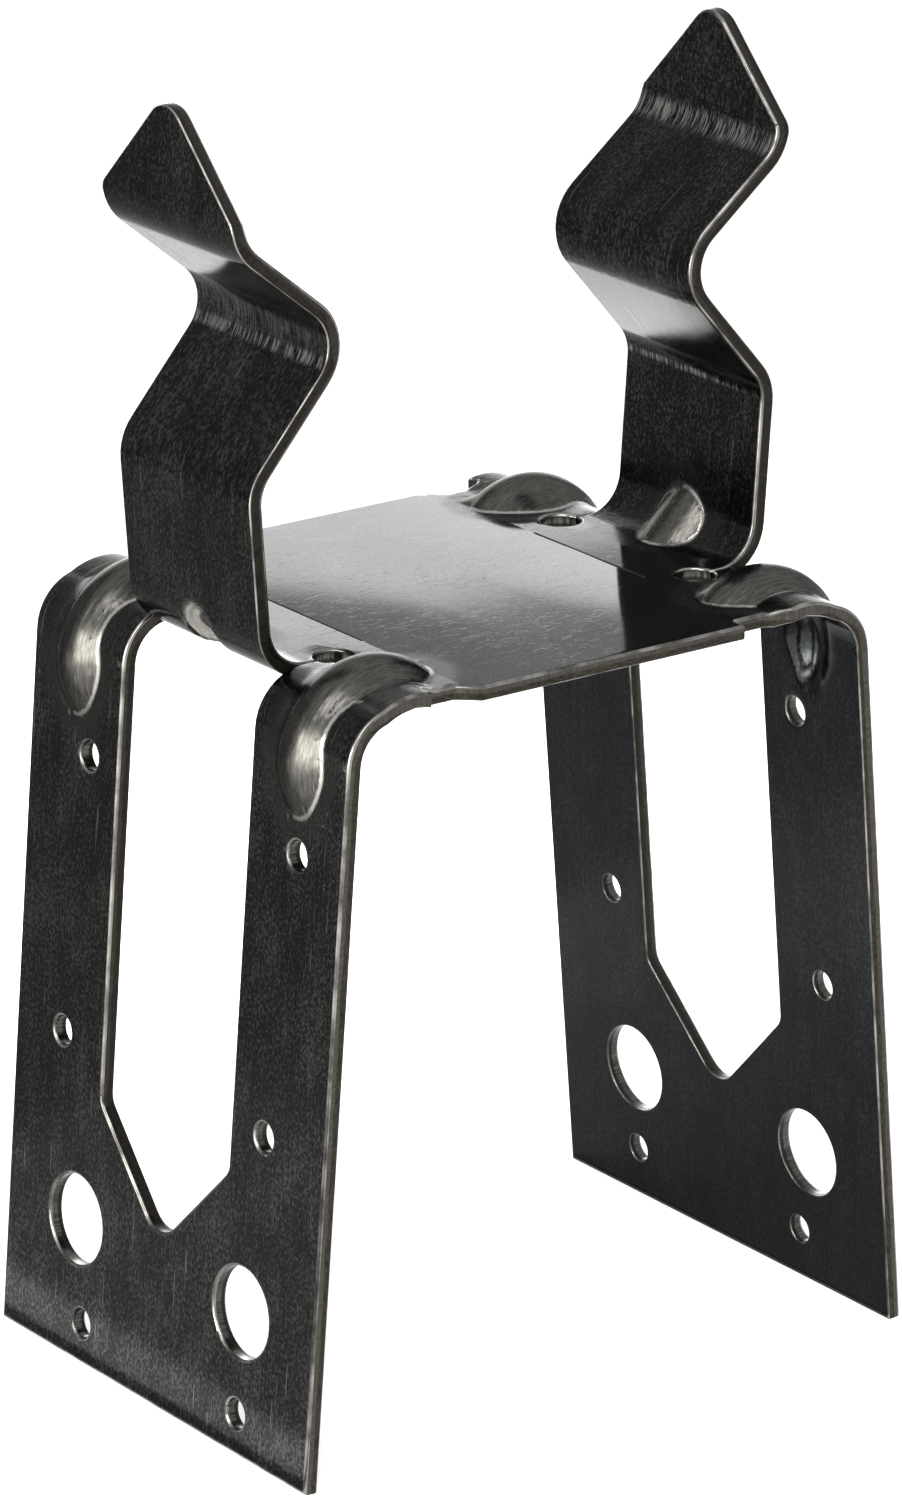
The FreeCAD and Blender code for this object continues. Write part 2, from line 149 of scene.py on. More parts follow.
# The photograph's frame and camera
IMAGE_WIDTH = 902
IMAGE_HEIGHT = 1500
FOCAL_PIXELS = 7492.83
AXIS_PIXEL_X = 467.87
EYE_DISTANCE = 1143.11 * MM
AIM = Vector((2.093, -1.528, 93.977)) * MM
EYE_AZIMUTH = math.radians(-36.121)
EYE_ELEVATION = math.radians(19.137)
SENSOR = 36.0


def rounded_path(corners, radius, steps=10):
    """Points along straight runs that are joined by arcs of one radius."""
    points = [Vector(corners[0])]
    for before, corner, after in zip(corners, corners[1:], corners[2:]):
        here = Vector(corner)
        back = (Vector(before) - here).normalized()
        ahead = (Vector(after) - here).normalized()
        half = back.angle(ahead) / 2
        centre = here + (back + ahead).normalized() * (radius / math.sin(half))
        first = here + back * (radius / math.tan(half)) - centre
        turn = math.copysign(math.pi - 2 * half, ahead.cross(back))
        for step in range(steps + 1):
            points.append(centre + Matrix.Rotation(turn * step / steps, 2) @ first)
    points.append(Vector(corners[-1]))
    return np.array(points)


DECK_MIDDLE = DECK_TOP - GAUGE / 2
FLANGE_PATH = rounded_path(
    [(0, DECK_MIDDLE), (FLANGE_TOP_X, DECK_MIDDLE), (FLANGE_FOOT_X, 0)], FOLD_RADIUS)
PRONG_PATH = rounded_path(
    [(0, DECK_MIDDLE), (PRONG_ROOT_X, DECK_MIDDLE), KNEE, ELBOW, NECK, (NECK[0], TIP_Z)], FOLD_RADIUS)


def unfold(points, path):
    """How far along a path each point lies, and how far it stands off to the left."""
    start = path[:-1]
    run = path[1:] - start
    length = np.linalg.norm(run, axis=1)
    travelled = np.concatenate([[0], np.cumsum(length)[:-1]])
    away = points[:, None, :] - start[None]
    share = np.clip((away * run).sum(2) / length ** 2, 0, 1)
    gap = away - share[..., None] * run
    nearest = (gap ** 2).sum(2).argmin(1)
    pick = np.arange(len(points))
    off = gap[pick, nearest]
    way = run[nearest] / length[nearest, None]
    left = way[:, 0] * off[:, 1] - way[:, 1] * off[:, 0]
    return travelled[nearest] + share[pick, nearest] * length[nearest], left


def on_prong(points):
    """Which points belong to a prong, from its slits up."""
    past_slit = (np.abs(points[:, 0]) > SLIT_X) & (points[:, 2] > DECK_TOP - 4 * GAUGE)
    return (np.abs(points[:, 1]) < PRONG_HALF) & (past_slit | (points[:, 2] > DECK_TOP + GAUGE))


def sheet_places(points):
    """Place of each point in the unfolded sheet, in millimetres: along, across, off its middle."""
    profile = np.stack([np.abs(points[:, 0]), points[:, 2]], axis=1)
    prong = on_prong(points)
    along, off = unfold(profile, FLANGE_PATH)
    prong_along, prong_off = unfold(profile, PRONG_PATH)
    along = np.where(prong, prong_along, along) * np.sign(points[:, 0])
    off = np.where(prong, prong_off, off)
    return np.stack([along, points[:, 1], off], axis=1) / MM


def mark_sheared_walls(work):
    """Faces with the sheet's thickness behind them are its skin; the others are sheared walls."""
    tree = BVHTree.FromBMesh(work)
    for face in work.faces:
        inward = -face.normal
        depth = tree.ray_cast(face.calc_center_median() + inward * 0.02 * GAUGE, inward)[3]
        face.material_index = SHEET if depth is not None and depth < SKIN_DEPTH else SHEAR


def mark_bores(work):
    """Walls of the round holes: small closed rings, and the relief holes at the slits' ends."""
    left = {face for face in work.faces if face.material_index == SHEAR}
    while left:
        ring = [left.pop()]
        for face in ring:
            for edge in face.edges:
                for other in edge.link_faces:
                    if other in left:
                        left.discard(other)
                        ring.append(other)
        corners = np.array([vert.co for face in ring for vert in face.verts])
        if np.ptp(corners, axis=0).max() < LARGEST_BORE:
            for face in ring:
                face.material_index = BORE
    for face in work.faces:
        if face.material_index == SHEAR:
            middle = face.calc_center_median()
            if math.hypot(abs(middle.x) - SLIT_X, abs(middle.y) - PRONG_HALF) < RELIEF_RADIUS + 0.1 * MM:
                face.material_index = BORE


def round_corners(work, struck, size, segments):
    """Round the corners between the skin and the walls on one side of the sheet."""
    corners = []
    for edge in work.edges:
        kinds = {face.material_index for face in edge.link_faces}
        meets_wall = len(kinds) == 2 and SHEET in kinds and RIM not in kinds
        if meets_wall and edge.calc_face_angle(0) >= CORNER_ANGLE:
            corners.append(edge)
    middles = np.array([(edge.verts[0].co + edge.verts[1].co) / 2 for edge in corners])
    off = sheet_places(middles)[:, 2]
    chosen = [edge for edge, place in zip(corners, off) if (place > 0) == struck]
    bmesh.ops.bevel(work, geom=chosen, offset=size, offset_type="OFFSET", segments=segments, profile=0.5,
                    affect="EDGES", clamp_overlap=False, loop_slide=True, material=RIM)


def point_tree(points):
    """A tree that finds the nearest of some points."""
    tree = KDTree(len(points))
    for index, point in enumerate(points):
        tree.insert(point, index)
    tree.balance()
    return tree


def crease_points(work, chosen, spacing):
    """Points along the pressed creases of the skin that are chosen by their middle and signed angle."""
    points = []
    for edge in work.edges:
        if len(edge.link_faces) != 2 or any(face.material_index != SHEET for face in edge.link_faces):
            continue
        angle = edge.calc_face_angle_signed(0)
        first, last = (vert.co for vert in edge.verts)
        if abs(angle) < CREASE_ANGLE or not chosen((first + last) / 2, angle):
            continue
        steps = max(1, int(edge.calc_length() / spacing))
        points.extend(first.lerp(last, step / steps) for step in range(steps + 1))
    return point_tree(points)


def on_near_side(point):
    """Whether a point lies on the nearer half, toward -Y, of its bead or dart."""
    middle = math.copysign(BEAD_Y, point.y) if abs(point.y) > PRONG_HALF else 0
    return point.y < middle + 0.5 * MM


def by_presswork(point):
    """Whether a point lies on or beside a bead or a dart."""
    x, y = abs(point.x), abs(point.y)
    by_bead = y > PRONG_HALF and BEAD_FROM_X < x < BEAD_TO_X and point.z > BEAD_FOOT_Z
    by_dart = y < DART_HALF and x > SLIT_X and DECK_TOP - 2 * GAUGE < point.z < DECK_TOP + DART_UP
    return by_bead or by_dart


def cut_finer(work, creases, rounds=9):
    """Cut the skin of the beads and darts into small triangles, smaller beside their creases."""
    bmesh.ops.triangulate(work, faces=[f for f in work.faces if f.material_index == SHEET])
    for _ in range(rounds):
        long_edges = []
        for edge in work.edges:
            if edge.calc_length() < CREASE_GRAIN or any(f.material_index != SHEET for f in edge.link_faces):
                continue
            if not any(by_presswork(vert.co) for vert in edge.verts):
                continue
            near = min(creases.find(vert.co)[2] for vert in edge.verts)
            if edge.calc_length() > PRESS_GRAIN or near < CREASE_REACH:
                long_edges.append(edge)
        if not long_edges:
            break
        bmesh.ops.subdivide_edges(work, edges=long_edges, cuts=1)
        bmesh.ops.triangulate(work, faces=[f for f in work.faces if f.material_index == SHEET])


def measure_lines(work, lines):
    """Note how far each vertex lies from the near-side creases of the beads and darts, where a highlight
    line is painted, in millimetres.
    """
    gaps = work.verts.layers.float.new("line_gap")
    for vert in work.verts:
        vert[gaps] = min(lines.find(vert.co)[2], LINE_REACH) / MM


def soften_presswork(work, creases, lines, passes=14):
    """Relax the skin of the beads and darts without shrinking it, less beside the near-side creases that
    carry the painted highlight line.
    """
    loose = []
    for vert in work.verts:
        if any(face.material_index != SHEET for face in vert.link_faces) or not by_presswork(vert.co):
            continue
        if max(edge.calc_length() for edge in vert.link_edges) < 2.5 * PRESS_GRAIN:
            loose.append(vert)
    crisp = {vert for vert in loose if lines.find(vert.co)[2] < CREASE_REACH}
    for step in range(2 * passes):
        pull = PULL if step % 2 == 0 else PUSH
        relax([(vert, pull) for vert in loose if step < CRISP_STEPS or vert not in crisp])
    soft = []
    for vert in loose:
        gap = creases.find(vert.co)[2]
        if abs(vert.co.y) > PRONG_HALF and vert not in crisp and gap < SOFT_REACH:
            soft.append((vert, SOFT_PULL * (1 - gap / SOFT_REACH)))
    for _ in range(2 * passes):
        relax(soft)


def relax(pulls):
    """Move vertices part of the way to the middle of their neighbours, all at once."""
    moves = []
    for vert, pull in pulls:
        middle = sum((edge.other_vert(vert).co for edge in vert.link_edges), Vector()) / len(vert.link_edges)
        moves.append(vert.co.lerp(middle, pull))
    for (vert, _pull), place in zip(pulls, moves):
        vert.co = place


def drop_slivers(work):
    """Remove the faces without area, and pairs of faces that lie back to back on the same corners."""
    bmesh.ops.dissolve_degenerate(work, dist=SLIVER, edges=work.edges)
    groups = {}
    for face in work.faces:
        groups.setdefault(frozenset(face.verts), []).append(face)
    doubled = [face for group in groups.values() if len(group) > 1 for face in group]
    bmesh.ops.delete(work, geom=doubled, context="FACES")


def beside_presswork(points):
    """Which of many points lie on or beside a bead or a dart."""
    return np.array([by_presswork(Vector(point)) for point in points])


def rubbed_share(points, places):
    """How far each point is rubbed by the punches: one on a bead or a dart, less beside it."""
    raised = places[:, 2] > 0.5 * GAUGE / MM + 0.25
    tree = point_tree(points[beside_presswork(points) & raised])
    gaps = np.array([tree.find(point)[2] for point in points])
    return np.clip(1 - gaps / RUB_REACH, 0, 1)


def hollow_side(points, normals):
    """Which points of the beads and folds face the post: the inner skin, however deep it is pressed."""
    outward = points * (1, 0, 1) - (0, 0, FOLD_HUB_Z)
    return beside_presswork(points) & ~on_prong(points) & ((outward * normals).sum(1) < 0)


def read_vectors(rows, name):
    """One vector from each row of a mesh's data, as an array."""
    values = np.empty(len(rows) * 3, np.float32)
    rows.foreach_get(name, values)
    return values.reshape(-1, 3)


def write_shares(mesh, name, values):
    """One number for each vertex of a mesh, for its materials to read."""
    layer = mesh.attributes.new(name, "FLOAT", "POINT")
    layer.data.foreach_set("value", values.astype(np.float32))


def worked_mesh(source):
    """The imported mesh, with the corners and creases that shearing and pressing leave."""
    work = bmesh.new()
    work.from_mesh(source.data)
    bmesh.ops.remove_doubles(work, verts=work.verts, dist=SEAM)
    mark_sheared_walls(work)
    bmesh.ops.dissolve_limit(work, angle_limit=FLAT_ANGLE, verts=work.verts, edges=work.edges,
                             use_dissolve_boundaries=False, delimit={"MATERIAL"})

    # Creases on the near side of the beads and darts, which keep a crisp shape and get a painted highlight
    # line
    def near_side_crease(middle, angle):
        return angle < 0 and on_near_side(middle) and by_presswork(middle)

    creases = crease_points(work, lambda middle, angle: True, 0.5 * CREASE_GRAIN)
    lines = crease_points(work, near_side_crease, 0.1 * CREASE_GRAIN)
    mark_bores(work)
    round_corners(work, True, STRUCK_ROUND, 3)
    round_corners(work, False, BACK_ROUND, 2)
    cut_finer(work, creases)
    measure_lines(work, lines)
    soften_presswork(work, creases, lines)
    drop_slivers(work)
    mesh = bpy.data.meshes.new("pressed_sheet")
    work.to_mesh(mesh)
    work.free()
    for polygon in mesh.polygons:
        polygon.use_smooth = True
    mesh.set_sharp_from_angle(angle=SHARP_ANGLE)
    return mesh


def pressed_sheet(source):
    """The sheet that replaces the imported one, with the places that its materials read."""
    mesh = worked_mesh(source)
    points = read_vectors(mesh.vertices, "co").astype(float)
    places = sheet_places(points)
    write_shares(mesh, "hollow_side", hollow_side(points, read_vectors(mesh.vertex_normals, "vector")))
    layer = mesh.attributes.new("sheet_place", "FLOAT_VECTOR", "POINT")
    layer.data.foreach_set("vector", places.astype(np.float32).ravel())
    write_shares(mesh, "on_prong", on_prong(points))
    write_shares(mesh, "rubbed", rubbed_share(points, places))
    piece = bpy.data.objects.new("post_base_sheet", mesh)
    bpy.context.scene.collection.objects.link(piece)
    even = piece.modifiers.new("even_normals", "WEIGHTED_NORMAL")
    even.keep_sharp = True
    return piece


class Nodes:
    """Short calls for building a node tree."""

    def __init__(self, tree):
        self.tree = tree
        tree.nodes.clear()

    def add(self, kind, **settings):
        node = self.tree.nodes.new("ShaderNode" + kind)
        for name, value in settings.items():
            setattr(node, name, value)
        return node

    def join(self, source, target):
        self.tree.links.new(source, target)

    def put(self, value, target):
        """Set a socket to a number or colour, or link it to another socket."""
        if isinstance(value, bpy.types.NodeSocket):
            self.join(value, target)
        else:
            target.default_value = value

    def math(self, operation, first, second=0.0, third=0.0):
        node = self.add("Math", operation=operation)
        for socket, value in zip(node.inputs, (first, second, third)):
            self.put(value, socket)
        return node.outputs[0]

    def times(self, first, second):
        return self.math("MULTIPLY", first, second)

    def rest(self, share):
        """What a share leaves of one."""
        return self.math("SUBTRACT", 1.0, share)

    def attribute(self, name, output="Fac"):
        return self.add("Attribute", attribute_name=name).outputs[output]

    def sheet_axes(self):
        """The sheet's place in millimetres, whole and as three parts: along, across, off its middle."""
        place = self.attribute("sheet_place", "Vector")
        parts = self.add("SeparateXYZ")
        self.join(place, parts.inputs[0])
        return (place, *parts.outputs)

    def stretch(self, place, along, across, off):
        """The sheet's place, scaled to so many repeats per millimetre each way."""
        node = self.add("VectorMath", operation="MULTIPLY")
        self.join(place, node.inputs[0])
        node.inputs[1].default_value = (along, across, off)
        return node.outputs[0]

    def noise(self, place, detail=2.0, roughness=0.5):
        node = self.add("TexNoise")
        node.inputs["Scale"].default_value = 1.0
        node.inputs["Detail"].default_value = detail
        node.inputs["Roughness"].default_value = roughness
        self.join(place, node.inputs["Vector"])
        return node.outputs["Fac"]

    def remap(self, value, low, high, to_low=0.0, to_high=1.0):
        node = self.add("MapRange")
        node.interpolation_type = "SMOOTHSTEP"
        self.join(value, node.inputs["Value"])
        for name, number in (("From Min", low), ("From Max", high), ("To Min", to_low), ("To Max", to_high)):
            node.inputs[name].default_value = number
        return node.outputs["Result"]

    def mix(self, share, first, second):
        node = self.add("Mix", data_type="RGBA")
        self.put(share, node.inputs["Factor"])
        self.put(first, node.inputs[6])
        self.put(second, node.inputs[7])
        return node.outputs[2]

    def cover(self, colour, share, strength, top):
        """A colour, covered by another where a share says so."""
        return self.mix(self.times(share, strength), colour, top)

    def band(self, value, middle, inner, outer):
        """One within a distance of a middle value, and none farther off."""
        distance = self.math("ABSOLUTE", self.math("SUBTRACT", value, middle))
        return self.remap(distance, inner, outer, 1.0, 0.0)

    def bump(self, height):
        """Normal of a surface whose height is given in millimetres."""
        node = self.add("Bump")
        node.inputs["Distance"].default_value = MM
        self.join(height, node.inputs["Height"])
        return node.outputs["Normal"]


def new_material(name):
    """A material, and the builder of its nodes."""
    material = bpy.data.materials.new(name)
    material.use_nodes = True
    return material, Nodes(material.node_tree)


def finish_metal(nodes, colour, sheen, height, bare=1.0, graze=(1, 1, 1, 1)):
    """A shader from a colour, a roughness and a height in millimetres, with a tint of the grazing glare."""
    shader = nodes.add("BsdfPrincipled")
    nodes.put(bare, shader.inputs["Metallic"])
    nodes.put(graze, shader.inputs["Specular Tint"])
    nodes.put(colour, shader.inputs["Base Color"])
    nodes.put(sheen, shader.inputs["Roughness"])
    nodes.join(nodes.bump(height), shader.inputs["Normal"])
    output = nodes.add("OutputMaterial")
    nodes.join(shader.outputs[0], output.inputs["Surface"])


def drag_marks(nodes, place, reach, struck):
    """Scratches that the bending die leaves across the hollow side of each bend of the prongs."""
    knee, elbow, neck = (unfold(np.array([KNEE, ELBOW, NECK]), PRONG_PATH)[0] / MM).tolist()
    at_knee = nodes.band(reach, knee - 0.6, 0.2, 0.9)
    at_neck = nodes.band(reach, neck - 0.8, 0.8, 3.0)
    inner = nodes.math("MAXIMUM", at_knee, at_neck)
    arcs = nodes.times(nodes.band(reach, elbow, 3.0, 5.5), 0.25)
    outer = nodes.math("MAXIMUM", nodes.band(reach, elbow - 4.0, 0.5, 1.7), arcs)
    bends = nodes.math("MULTIPLY_ADD", nodes.math("SUBTRACT", inner, outer), struck, outer)
    scratches = nodes.noise(nodes.stretch(place, 0.25, 4.2, 0.3), detail=2.0, roughness=0.5)
    return nodes.times(nodes.remap(scratches, 0.45, 0.62), bends)


def scribed_lines(nodes, reach, across, struck):
    """Lines that the folding die scribes on the deck."""
    line = nodes.band(reach, DIE_LINE, 0.12, 0.3)
    length = nodes.band(across, 0.0, DIE_LINE_HALF - 0.4, DIE_LINE_HALF + 0.2)
    return nodes.times(nodes.times(line, length), struck)


def die_valley(nodes, reach):
    """A dip along each scribed line: none at its bottom and one at the deck's middle, less steep outside."""
    past = nodes.math("SUBTRACT", reach, DIE_LINE)
    beside = nodes.math("MAXIMUM", nodes.times(past, -0.05), nodes.times(past, 0.02))
    beside = nodes.math("MINIMUM", beside, 1.0)
    return nodes.times(beside, nodes.math("SUBTRACT", 2.0, beside))


def galvanised_skin():
    """Dark zinc with a fine mottle and rolling streaks, rubbed where the dies bore on it."""
    material, nodes = new_material("galvanised_skin")
    place, along, across, off = nodes.sheet_axes()
    prong = nodes.attribute("on_prong")
    rubbed = nodes.attribute("rubbed")
    reach = nodes.math("ABSOLUTE", along)
    struck = nodes.times(nodes.remap(off, -0.3, 0.3), nodes.rest(nodes.attribute("hollow_side")))

    flecks = nodes.noise(nodes.stretch(place, 1.5, 2.3, 1.0), detail=3.0, roughness=0.6)
    streaks = nodes.noise(nodes.stretch(place, 0.16, 2.4, 0.5), detail=3.0, roughness=0.6)
    patches = nodes.noise(nodes.stretch(place, 0.09, 0.16, 0.3), detail=4.0, roughness=0.6)
    lengths = nodes.noise(nodes.stretch(place, 0.012, 0.7, 0.2), detail=3.0)
    dashes = nodes.noise(nodes.stretch(place, 0.5, 1.7, 0.4), detail=3.0, roughness=0.6)
    scratches = nodes.noise(nodes.stretch(place, 0.07, 2.1, 0.3), detail=1.0)

    # Zinc: light flecks on dark, gathered in patches and drawn out along the roll
    gathered = nodes.math("MULTIPLY_ADD", nodes.math("SUBTRACT", patches, 0.5), 0.35, flecks)
    gathered = nodes.math("MULTIPLY_ADD", nodes.math("SUBTRACT", streaks, 0.5), 0.28, gathered)
    light = nodes.remap(gathered, 0.42, 0.72)
    colour = nodes.mix(light, ZINC_DARK, ZINC_LIGHT)

    # Inner faces of the flanges, darker and more even
    inside = nodes.times(nodes.rest(struck), nodes.rest(prong))
    colour = nodes.cover(colour, inside, 0.7, ZINC_INSIDE)

    # Beads and darts, rubbed smooth by the punch, and lighter so that the highlights on them come out
    # brighter: partly a painted highlight
    raised = nodes.times(nodes.remap(rubbed, 0.65, 1.0), struck)
    calmed = nodes.times(nodes.remap(rubbed, 0.0, 0.5), struck)
    colour = nodes.cover(colour, calmed, 0.75, ZINC_CALM)
    rub_and_highlight = nodes.remap(nodes.noise(nodes.stretch(place, 0.5, 3.2, 0.8), detail=3.0), 0.3, 0.7)
    colour = nodes.cover(colour, raised, 0.85, nodes.mix(rub_and_highlight, RUBBED_HIGHLIGHT_DARK, RUBBED_HIGHLIGHT_LIGHT))

    # Painted highlight: bright lines along the near-side creases of the beads and darts, where a lamp shows
    # in them
    line = nodes.times(nodes.remap(nodes.attribute("line_gap"), 0.5, 0.12), struck)
    colour = nodes.cover(colour, line, 0.75, CREASE_HIGHLIGHT)

    # Hollow backs of the darts, painted bright: a painted reflection
    dart_hollow_reflection = nodes.times(nodes.remap(off, -1.0, -0.4), nodes.remap(off, 0.9, 0.6))
    by_dart = nodes.times(prong, nodes.remap(reach, DART_REACH + 1.5, DART_REACH - 1.5))
    colour = nodes.cover(colour, nodes.times(dart_hollow_reflection, by_dart), 0.9, DART_HOLLOW_REFLECTION)

    colour = nodes.cover(colour, nodes.times(drag_marks(nodes, place, reach, struck), prong), 0.9, DRAGGED)

    # The flat of the deck, more even, with scribed lines and short pressed dashes
    deck = nodes.times(nodes.band(reach, 0.0, DECK_REACH - 2, DECK_REACH + 2), struck)
    deck = nodes.times(deck, nodes.rest(raised))
    colour = nodes.cover(colour, deck, 0.6, ZINC_DECK)
    dents = nodes.times(nodes.remap(dashes, 0.56, 0.74), deck)
    scribed = scribed_lines(nodes, reach, across, struck)
    colour = nodes.mix(scribed, colour, SCRIBED)

    # A few stray scratches
    plain = nodes.rest(nodes.math("MAXIMUM", deck, inside))
    colour = nodes.cover(colour, nodes.times(nodes.remap(scratches, 0.735, 0.77), plain), 0.6, SCRATCHED)

    sheen = nodes.math("MULTIPLY_ADD", lengths, 0.05, 0.135)
    sheen = nodes.math("MULTIPLY_ADD", light, 0.08, sheen)
    sheen = nodes.math("MULTIPLY_ADD", calmed, 0.07, sheen)
    polished = nodes.times(deck, nodes.rest(calmed))
    sheen = nodes.mix(polished, sheen, nodes.math("MULTIPLY_ADD", light, 0.02, 0.07))
    sheen = nodes.math("MULTIPLY_ADD", scribed, 0.6, sheen)
    graze = nodes.mix(raised, nodes.mix(deck, GRAZE_SKIN, GRAZE_DECK), GRAZE_RAISED)

    # Relief: flecks and rolling, and the dips along the scribed lines
    calm = nodes.math("MULTIPLY_ADD", nodes.math("MAXIMUM", calmed, deck), -0.0052, 0.006)
    height = nodes.times(flecks, calm)
    height = nodes.math("MULTIPLY_ADD", dents, -0.003, height)
    height = nodes.math("MULTIPLY_ADD", scribed, -0.05, height)
    valley = nodes.times(die_valley(nodes, reach), struck)
    height = nodes.math("MULTIPLY_ADD", valley, VALLEY_DEPTH, height)
    height = nodes.math("MULTIPLY_ADD", nodes.times(lengths, nodes.rest(deck)), 0.006, height)
    finish_metal(nodes, colour, sheen, height, nodes.math("MULTIPLY_ADD", deck, -0.15, 1.0), graze)
    return material


def sheared_wall():
    """Cut edges of the sheet: brownish bare steel, smooth by the struck side and torn beyond."""
    material, nodes = new_material("sheared_wall")
    place, along, across, off = nodes.sheet_axes()
    scores = nodes.noise(nodes.stretch(place, 1.6, 1.6, 0.15), detail=3.0, roughness=0.6)
    grit = nodes.noise(nodes.stretch(place, 1.2, 1.2, 3.0), detail=3.0, roughness=0.6)
    stain = nodes.noise(nodes.stretch(place, 0.11, 0.11, 0.3), detail=3.0)
    depth = nodes.math("MULTIPLY_ADD", nodes.math("SUBTRACT", stain, 0.5), 1.2, off)
    torn = nodes.remap(depth, 0.15, -0.15)
    smooth = nodes.mix(nodes.remap(scores, 0.3, 0.75), CUT_DARK, CUT_LIGHT)
    rough = nodes.mix(nodes.remap(grit, 0.3, 0.7), TORN_DARK, TORN_LIGHT)
    colour = nodes.mix(torn, smooth, rough)
    colour = nodes.mix(nodes.remap(stain, 0.45, 0.8, 0.0, 0.5), colour, STAINED)

    # Walls in the slots beside the prongs, darkened: painted shade
    between = nodes.remap(nodes.math("ABSOLUTE", across), SLOT_WALL_HALF + 0.5, SLOT_WALL_HALF - 0.5)
    beyond = nodes.remap(nodes.math("ABSOLUTE", along), SLOT_WALL_REACH - 1, SLOT_WALL_REACH + 1)
    colour = nodes.cover(colour, nodes.times(between, beyond), 0.6, SLOT_WALL_SHADE)
    sheen = nodes.math("MULTIPLY_ADD", torn, 0.2, 0.36)
    finish_metal(nodes, colour, sheen, nodes.times(nodes.mix(torn, scores, grit), 0.03))
    return material


def rolled_rim():
    """The corner that shearing draws over, lighter than the skin: a painted highlight along the cut edges.
    """
    material, nodes = new_material("rolled_rim")
    place = nodes.attribute("sheet_place", "Vector")
    rim_mottle = nodes.noise(nodes.stretch(place, 0.22, 0.22, 0.4), detail=3.0, roughness=0.5)
    colour = nodes.mix(nodes.remap(rim_mottle, 0.3, 0.7), RIM_DARK, RIM_HIGHLIGHT)
    finish_metal(nodes, colour, 0.25, nodes.times(rim_mottle, 0.02))
    return material


def bore_wall():
    """Walls of the round holes, burnished by the punch and torn at the back."""
    material, nodes = new_material("bore_wall")
    place, _along, _across, off = nodes.sheet_axes()
    scores = nodes.noise(nodes.stretch(place, 3.6, 3.6, 0.2), detail=2.0)
    torn = nodes.remap(nodes.math("MULTIPLY_ADD", scores, 0.8, off), 0.3, -0.1)
    smooth = nodes.mix(nodes.remap(scores, 0.3, 0.7), BORE_DARK, BORE_LIGHT)
    colour = nodes.mix(torn, smooth, BORE_TORN)
    sheen = nodes.math("MULTIPLY_ADD", torn, 0.2, 0.24)
    finish_metal(nodes, colour, sheen, nodes.times(scores, 0.008))
    return material


def white_world():
    """White behind the object and in its reflections, and a softer light on everything else."""
    world = bpy.data.worlds.new("studio")
    bpy.context.scene.world = world
    world.use_nodes = True
    nodes = Nodes(world.node_tree)
    path = nodes.add("LightPath")
    seen = nodes.math("MAXIMUM", path.outputs["Is Camera Ray"], path.outputs["Is Glossy Ray"])
    seen = nodes.math("MAXIMUM", seen, path.outputs["Is Transmission Ray"])
    strength = nodes.math("MULTIPLY_ADD", seen, 1.0 - SKY_LIGHT, SKY_LIGHT)
    background = nodes.add("Background")
    nodes.join(strength, background.inputs["Strength"])
    background.inputs["Color"].default_value = (1, 1, 1, 1)
    output = nodes.add("OutputWorld")
    nodes.join(background.outputs[0], output.inputs["Surface"])


def pale_floor():
    """A wide white floor that keeps a faint shadow."""
    half = FLOOR_HALF
    corners = [(-half, -half, 0), (half, -half, 0), (half, half, 0), (-half, half, 0)]
    mesh = bpy.data.meshes.new("floor")
    mesh.from_pydata(corners, [], [(0, 1, 2, 3)])
    floor = bpy.data.objects.new("floor", mesh)
    bpy.context.scene.collection.objects.link(floor)
    material, nodes = new_material("pale_floor")
    paint = nodes.add("BsdfDiffuse")
    paint.inputs["Color"].default_value = FLOOR_COLOUR
    glow = nodes.add("Emission")
    glow.inputs["Strength"].default_value = FLOOR_GLOW
    both = nodes.add("AddShader")
    nodes.join(paint.outputs[0], both.inputs[0])
    nodes.join(glow.outputs[0], both.inputs[1])
    output = nodes.add("OutputMaterial")
    nodes.join(both.outputs[0], output.inputs["Surface"])
    mesh.materials.append(material)


def dark_flag(name, corners, tone=DARK_CLOTH):
    """A card that only reflections show: the dark parts of the room round the object."""
    mesh = bpy.data.meshes.new(name)
    mesh.from_pydata(corners, [], [tuple(range(len(corners)))])
    card = bpy.data.objects.new(name, mesh)
    bpy.context.scene.collection.objects.link(card)
    material, nodes = new_material(name)
    cloth = nodes.add("BsdfDiffuse")
    cloth.inputs["Color"].default_value = (tone, tone, tone, 1)
    output = nodes.add("OutputMaterial")
    nodes.join(cloth.outputs[0], output.inputs["Surface"])
    mesh.materials.append(material)
    card.visible_camera = False
    card.visible_diffuse = False
    card.visible_shadow = False


def lay_flag(name, outline, tone=DARK_CLOTH, height=CARD_Z):
    """A dark card that lies on the floor."""
    dark_flag(name, [(x, y, height) for x, y in outline], tone)


def softbox(name, place, aim, width, height, power, colour=(1, 1, 1)):
    """A rectangular lamp that faces a point."""
    lamp = bpy.data.lights.new(name, "AREA")
    lamp.shape = "RECTANGLE"
    lamp.size = width
    lamp.size_y = height
    lamp.energy = power
    lamp.color = colour
    stand = bpy.data.objects.new(name, lamp)
    bpy.context.scene.collection.objects.link(stand)
    stand.location = place
    stand.rotation_euler = (Vector(aim) - Vector(place)).to_track_quat("-Z", "Y").to_euler()
    stand.visible_camera = False


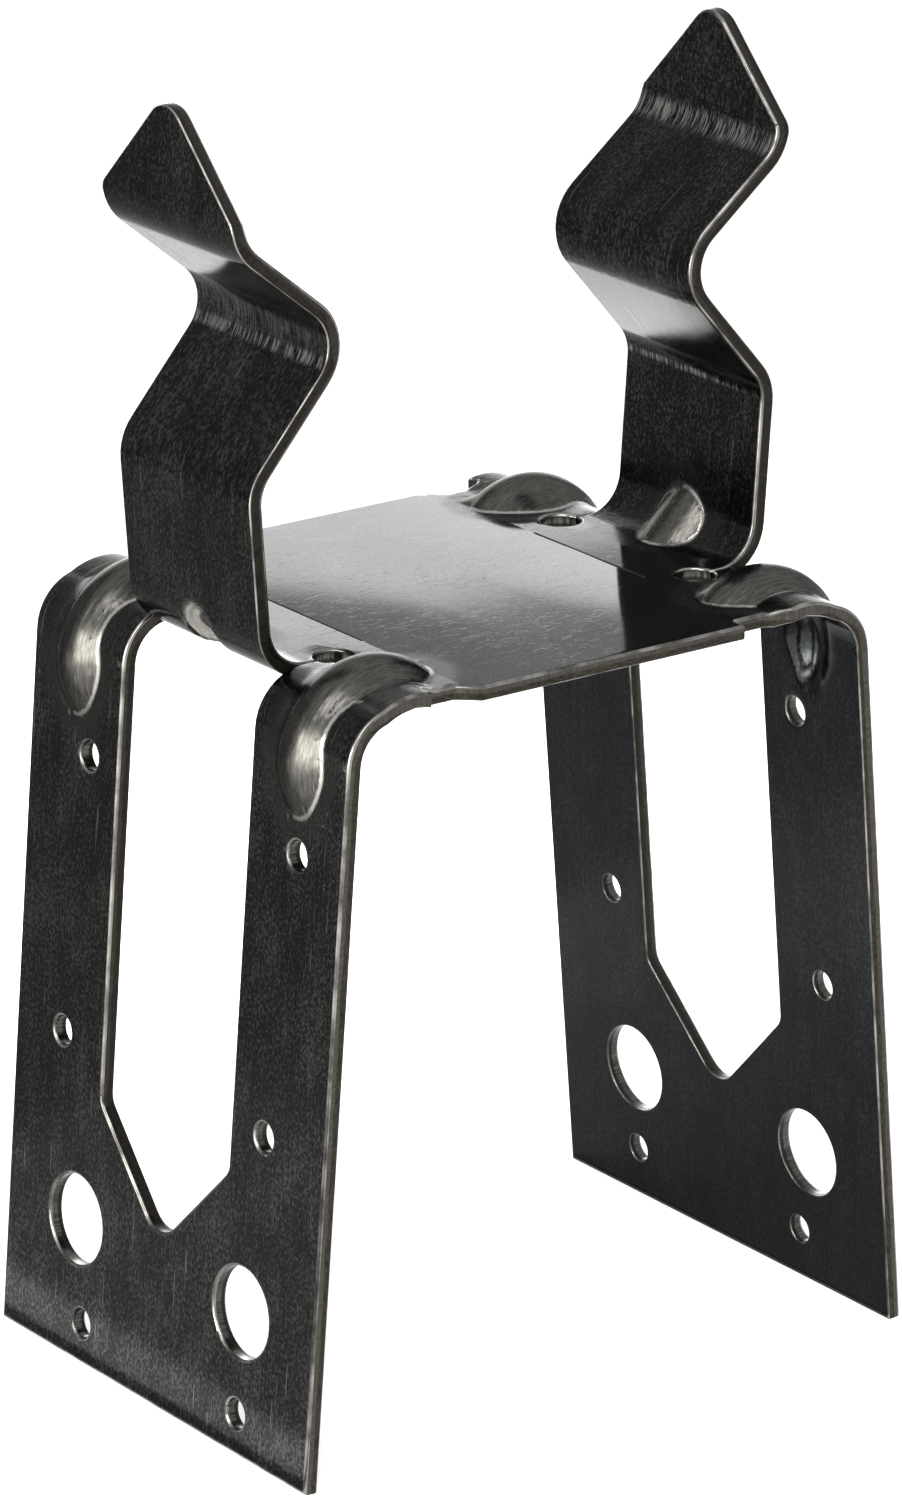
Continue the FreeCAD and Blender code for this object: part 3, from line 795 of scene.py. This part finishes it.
def photo_camera():
    """The camera that took the photograph."""
    back = Vector((math.sin(EYE_AZIMUTH) * math.cos(EYE_ELEVATION),
                   -math.cos(EYE_AZIMUTH) * math.cos(EYE_ELEVATION), math.sin(EYE_ELEVATION)))
    lens = bpy.data.cameras.new("photo_camera")
    lens.sensor_width = SENSOR
    lens.lens = FOCAL_PIXELS * SENSOR / IMAGE_HEIGHT
    lens.shift_x = -(AXIS_PIXEL_X - IMAGE_WIDTH / 2) / IMAGE_HEIGHT
    camera = bpy.data.objects.new("photo_camera", lens)
    bpy.context.scene.collection.objects.link(camera)
    camera.location = AIM + back * EYE_DISTANCE
    camera.rotation_euler = (-back).to_track_quat("-Z", "Y").to_euler()
    bpy.context.scene.camera = camera


sheet = pressed_sheet(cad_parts["post_base"])
for make in (galvanised_skin, sheared_wall, rolled_rim, bore_wall):
    sheet.data.materials.append(make())
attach(sheet, "root")
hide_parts("post_base")

white_world()
pale_floor()

# The floor behind the object and between its flanges, as the far flange and the prongs show it
lay_flag("floor_flag", [(0.0545, -0.06), (0.0545, 0.05), (0.2, 1.2), (-1.2, 1.2), (-0.45, 0.42),
                        (-0.18, 0), (-0.18, 0.15), (-0.06, 0.1), (-0.03, 0.06)])
lay_flag("inner_flag", [(0.0545, -0.06), (0.0545, 0.05), (0.06, 0.12), (-0.05, 0.12), (-0.03, 0.06)],
         GREY_CLOTH, UPPER_CARD_Z)
# The floor beside the near flange, with a light strip left by its foot
lay_flag("near_flag", [(-0.071, -0.12), (-0.071, 0.104), (-0.18, 0.15), (-0.18, 0), (-0.1, -0.12)],
         GREY_CLOTH)
# A dark strip at the near flange's foot that stands in for its contact shadow: painted shade, seen in the
# flange's reflection
lay_flag("foot_shadow_flag", [(-0.0605, -0.06), (-0.0605, 0.06), (-0.0575, 0.06), (-0.0575, -0.06)])
# The floor that the prongs' slants show, and the room behind
lay_flag("slant_flag", [(0.06, 0.255), (0.25, 0.255), (0.25, 0.35), (0.06, 0.35)], PALE_CLOTH)
dark_flag("back_flag", [(0.2, 1.2, 0), (0.2, 1.2, 1.6), (-1.6, 1.2, 1.6), (-1.6, 1.2, 0)])

# The panel that the deck shows, a small lamp for the floor, and two softboxes for the object
softbox("back_panel", (0.25, 0.36, 0.1445), (0.25, 0, 0.1445), 0.5, 0.249, 1.2)
softbox("floor_lamp", (0.1, 0.175, 0.07), (0.1, 0.175, 0), 0.16, 0.12, 0.2)
softbox("left_softbox", (-0.95, -0.1, 0.24), (0, 0, 0.1), 0.8, 0.46, 12, (1, 0.97, 0.9))
softbox("key_softbox", (-0.6, -0.62, 1.0), (0, 0, 0.1), 0.8, 0.8, 11, (1, 0.98, 0.94))

photo_camera()
bpy.context.scene.view_settings.view_transform = "Standard"
